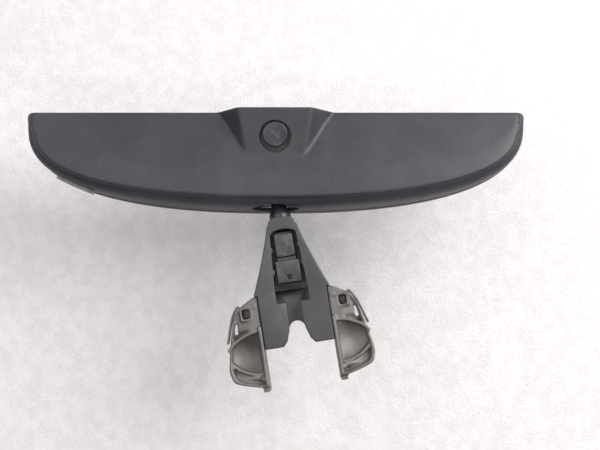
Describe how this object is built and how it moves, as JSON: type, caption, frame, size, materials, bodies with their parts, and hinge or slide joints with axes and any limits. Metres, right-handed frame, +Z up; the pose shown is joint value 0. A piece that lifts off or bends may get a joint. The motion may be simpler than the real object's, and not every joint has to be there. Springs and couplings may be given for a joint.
{
  "type": "interior rearview mirror",
  "caption": "Wide interior rearview mirror with crowned casing, round sensor in a raised plateau, ball-jointed arm and two-winged windscreen foot.",
  "frame": {"origin": "middle of the plane in which the four seats of the foot meet the windscreen bracket", "axes": "+X along the head, +Y towards the windscreen, away from the glass, +Z up; the head is level and the arm leans 9 degrees towards +X, as it is stored"},
  "size_m": [0.25, 0.027, 0.1379],
  "materials": {
    "foot_metal": "cast, dark grey-brown, slightly rough",
    "cover_plastic": "fine grained, dark grey",
    "stud_metal": "black coated, smooth",
    "spring_steel": "dull spring steel",
    "plug_plastic": "smooth black",
    "contact_metal": "plated contacts",
    "screw_steel": "dark zinc",
    "lead_sheath": "soft black sheath",
    "liner_plastic": "off-white bearing plastic",
    "cup_plastic": "dark bearing plastic",
    "casing_plastic": "fine grained charcoal, satin",
    "bezel_plastic": "satin black",
    "front_glass": "clear, polished",
    "seal_black": "matt sealant",
    "mirror_glass": "mirror coated",
    "foam": "closed cell foam",
    "carrier_plastic": "plain moulded",
    "seat_metal": "plain die casting",
    "board_green": "solder resist over laminate",
    "chip_black": "moulded packages",
    "header_plastic": "natural nylon",
    "sensor_clear": "clear moulded package",
    "clear_plastic": "clear light pipe",
    "cap_plastic": "dark infrared-clear plastic, satin",
    "insert_plastic": "grey, ribbed",
    "capsule_metal": "plain can"
  },
  "bodies": {
    "arm": {"foot_casting": "foot_metal", "stem_cover": "cover_plastic", "ball_stud": "stud_metal", "spring_clip_left": "spring_steel", "spring_clip_right": "spring_steel", "harness_plug": "plug_plastic", "socket_header": "plug_plastic", "header_pins": "contact_metal", "cover_screws": "screw_steel", "arm_lead": "lead_sheath"},
    "liner": {"ball_liner": "liner_plastic"},
    "cup": {"socket_cup": "cup_plastic"},
    "head": {"rear_casing": "casing_plastic", "front_bezel": "bezel_plastic", "front_glass": "front_glass", "edge_seal": "seal_black", "rear_glass": "mirror_glass", "bus_clips": "contact_metal", "foam_pad": "foam", "glass_carrier": "carrier_plastic", "carrier_screws": "screw_steel", "socket_seat": "seat_metal", "socket_retainer": "seat_metal", "socket_spring": "spring_steel", "retainer_screws": "screw_steel", "circuit_board": "board_green", "board_chips": "chip_black", "board_header": "header_plastic", "ambient_sensor": "sensor_clear", "light_tube": "clear_plastic", "sensor_cap": "cap_plastic", "glare_sensor": "sensor_clear", "glare_window": "clear_plastic", "side_insert": "insert_plastic", "microphone": "capsule_metal", "head_lead": "lead_sheath"}
  },
  "joints": [
    {"name": "head_pan", "type": "hinge", "parent": "arm", "child": "liner", "pos_m": [-0.01154, -0.009, -0.07284], "axis": [0, 0, 1], "range_deg": [-22, 22]},
    {"name": "head_tilt", "type": "hinge", "parent": "liner", "child": "cup", "pos_m": [-0.01154, -0.009, -0.07284], "axis": [1, 0, 0], "range_deg": [-13, 13]},
    {"name": "head_roll", "type": "hinge", "parent": "cup", "child": "head", "pos_m": [-0.01154, -0.009, -0.07284], "axis": [0, 1, 0], "range_deg": [-6, 24]}
  ]
}
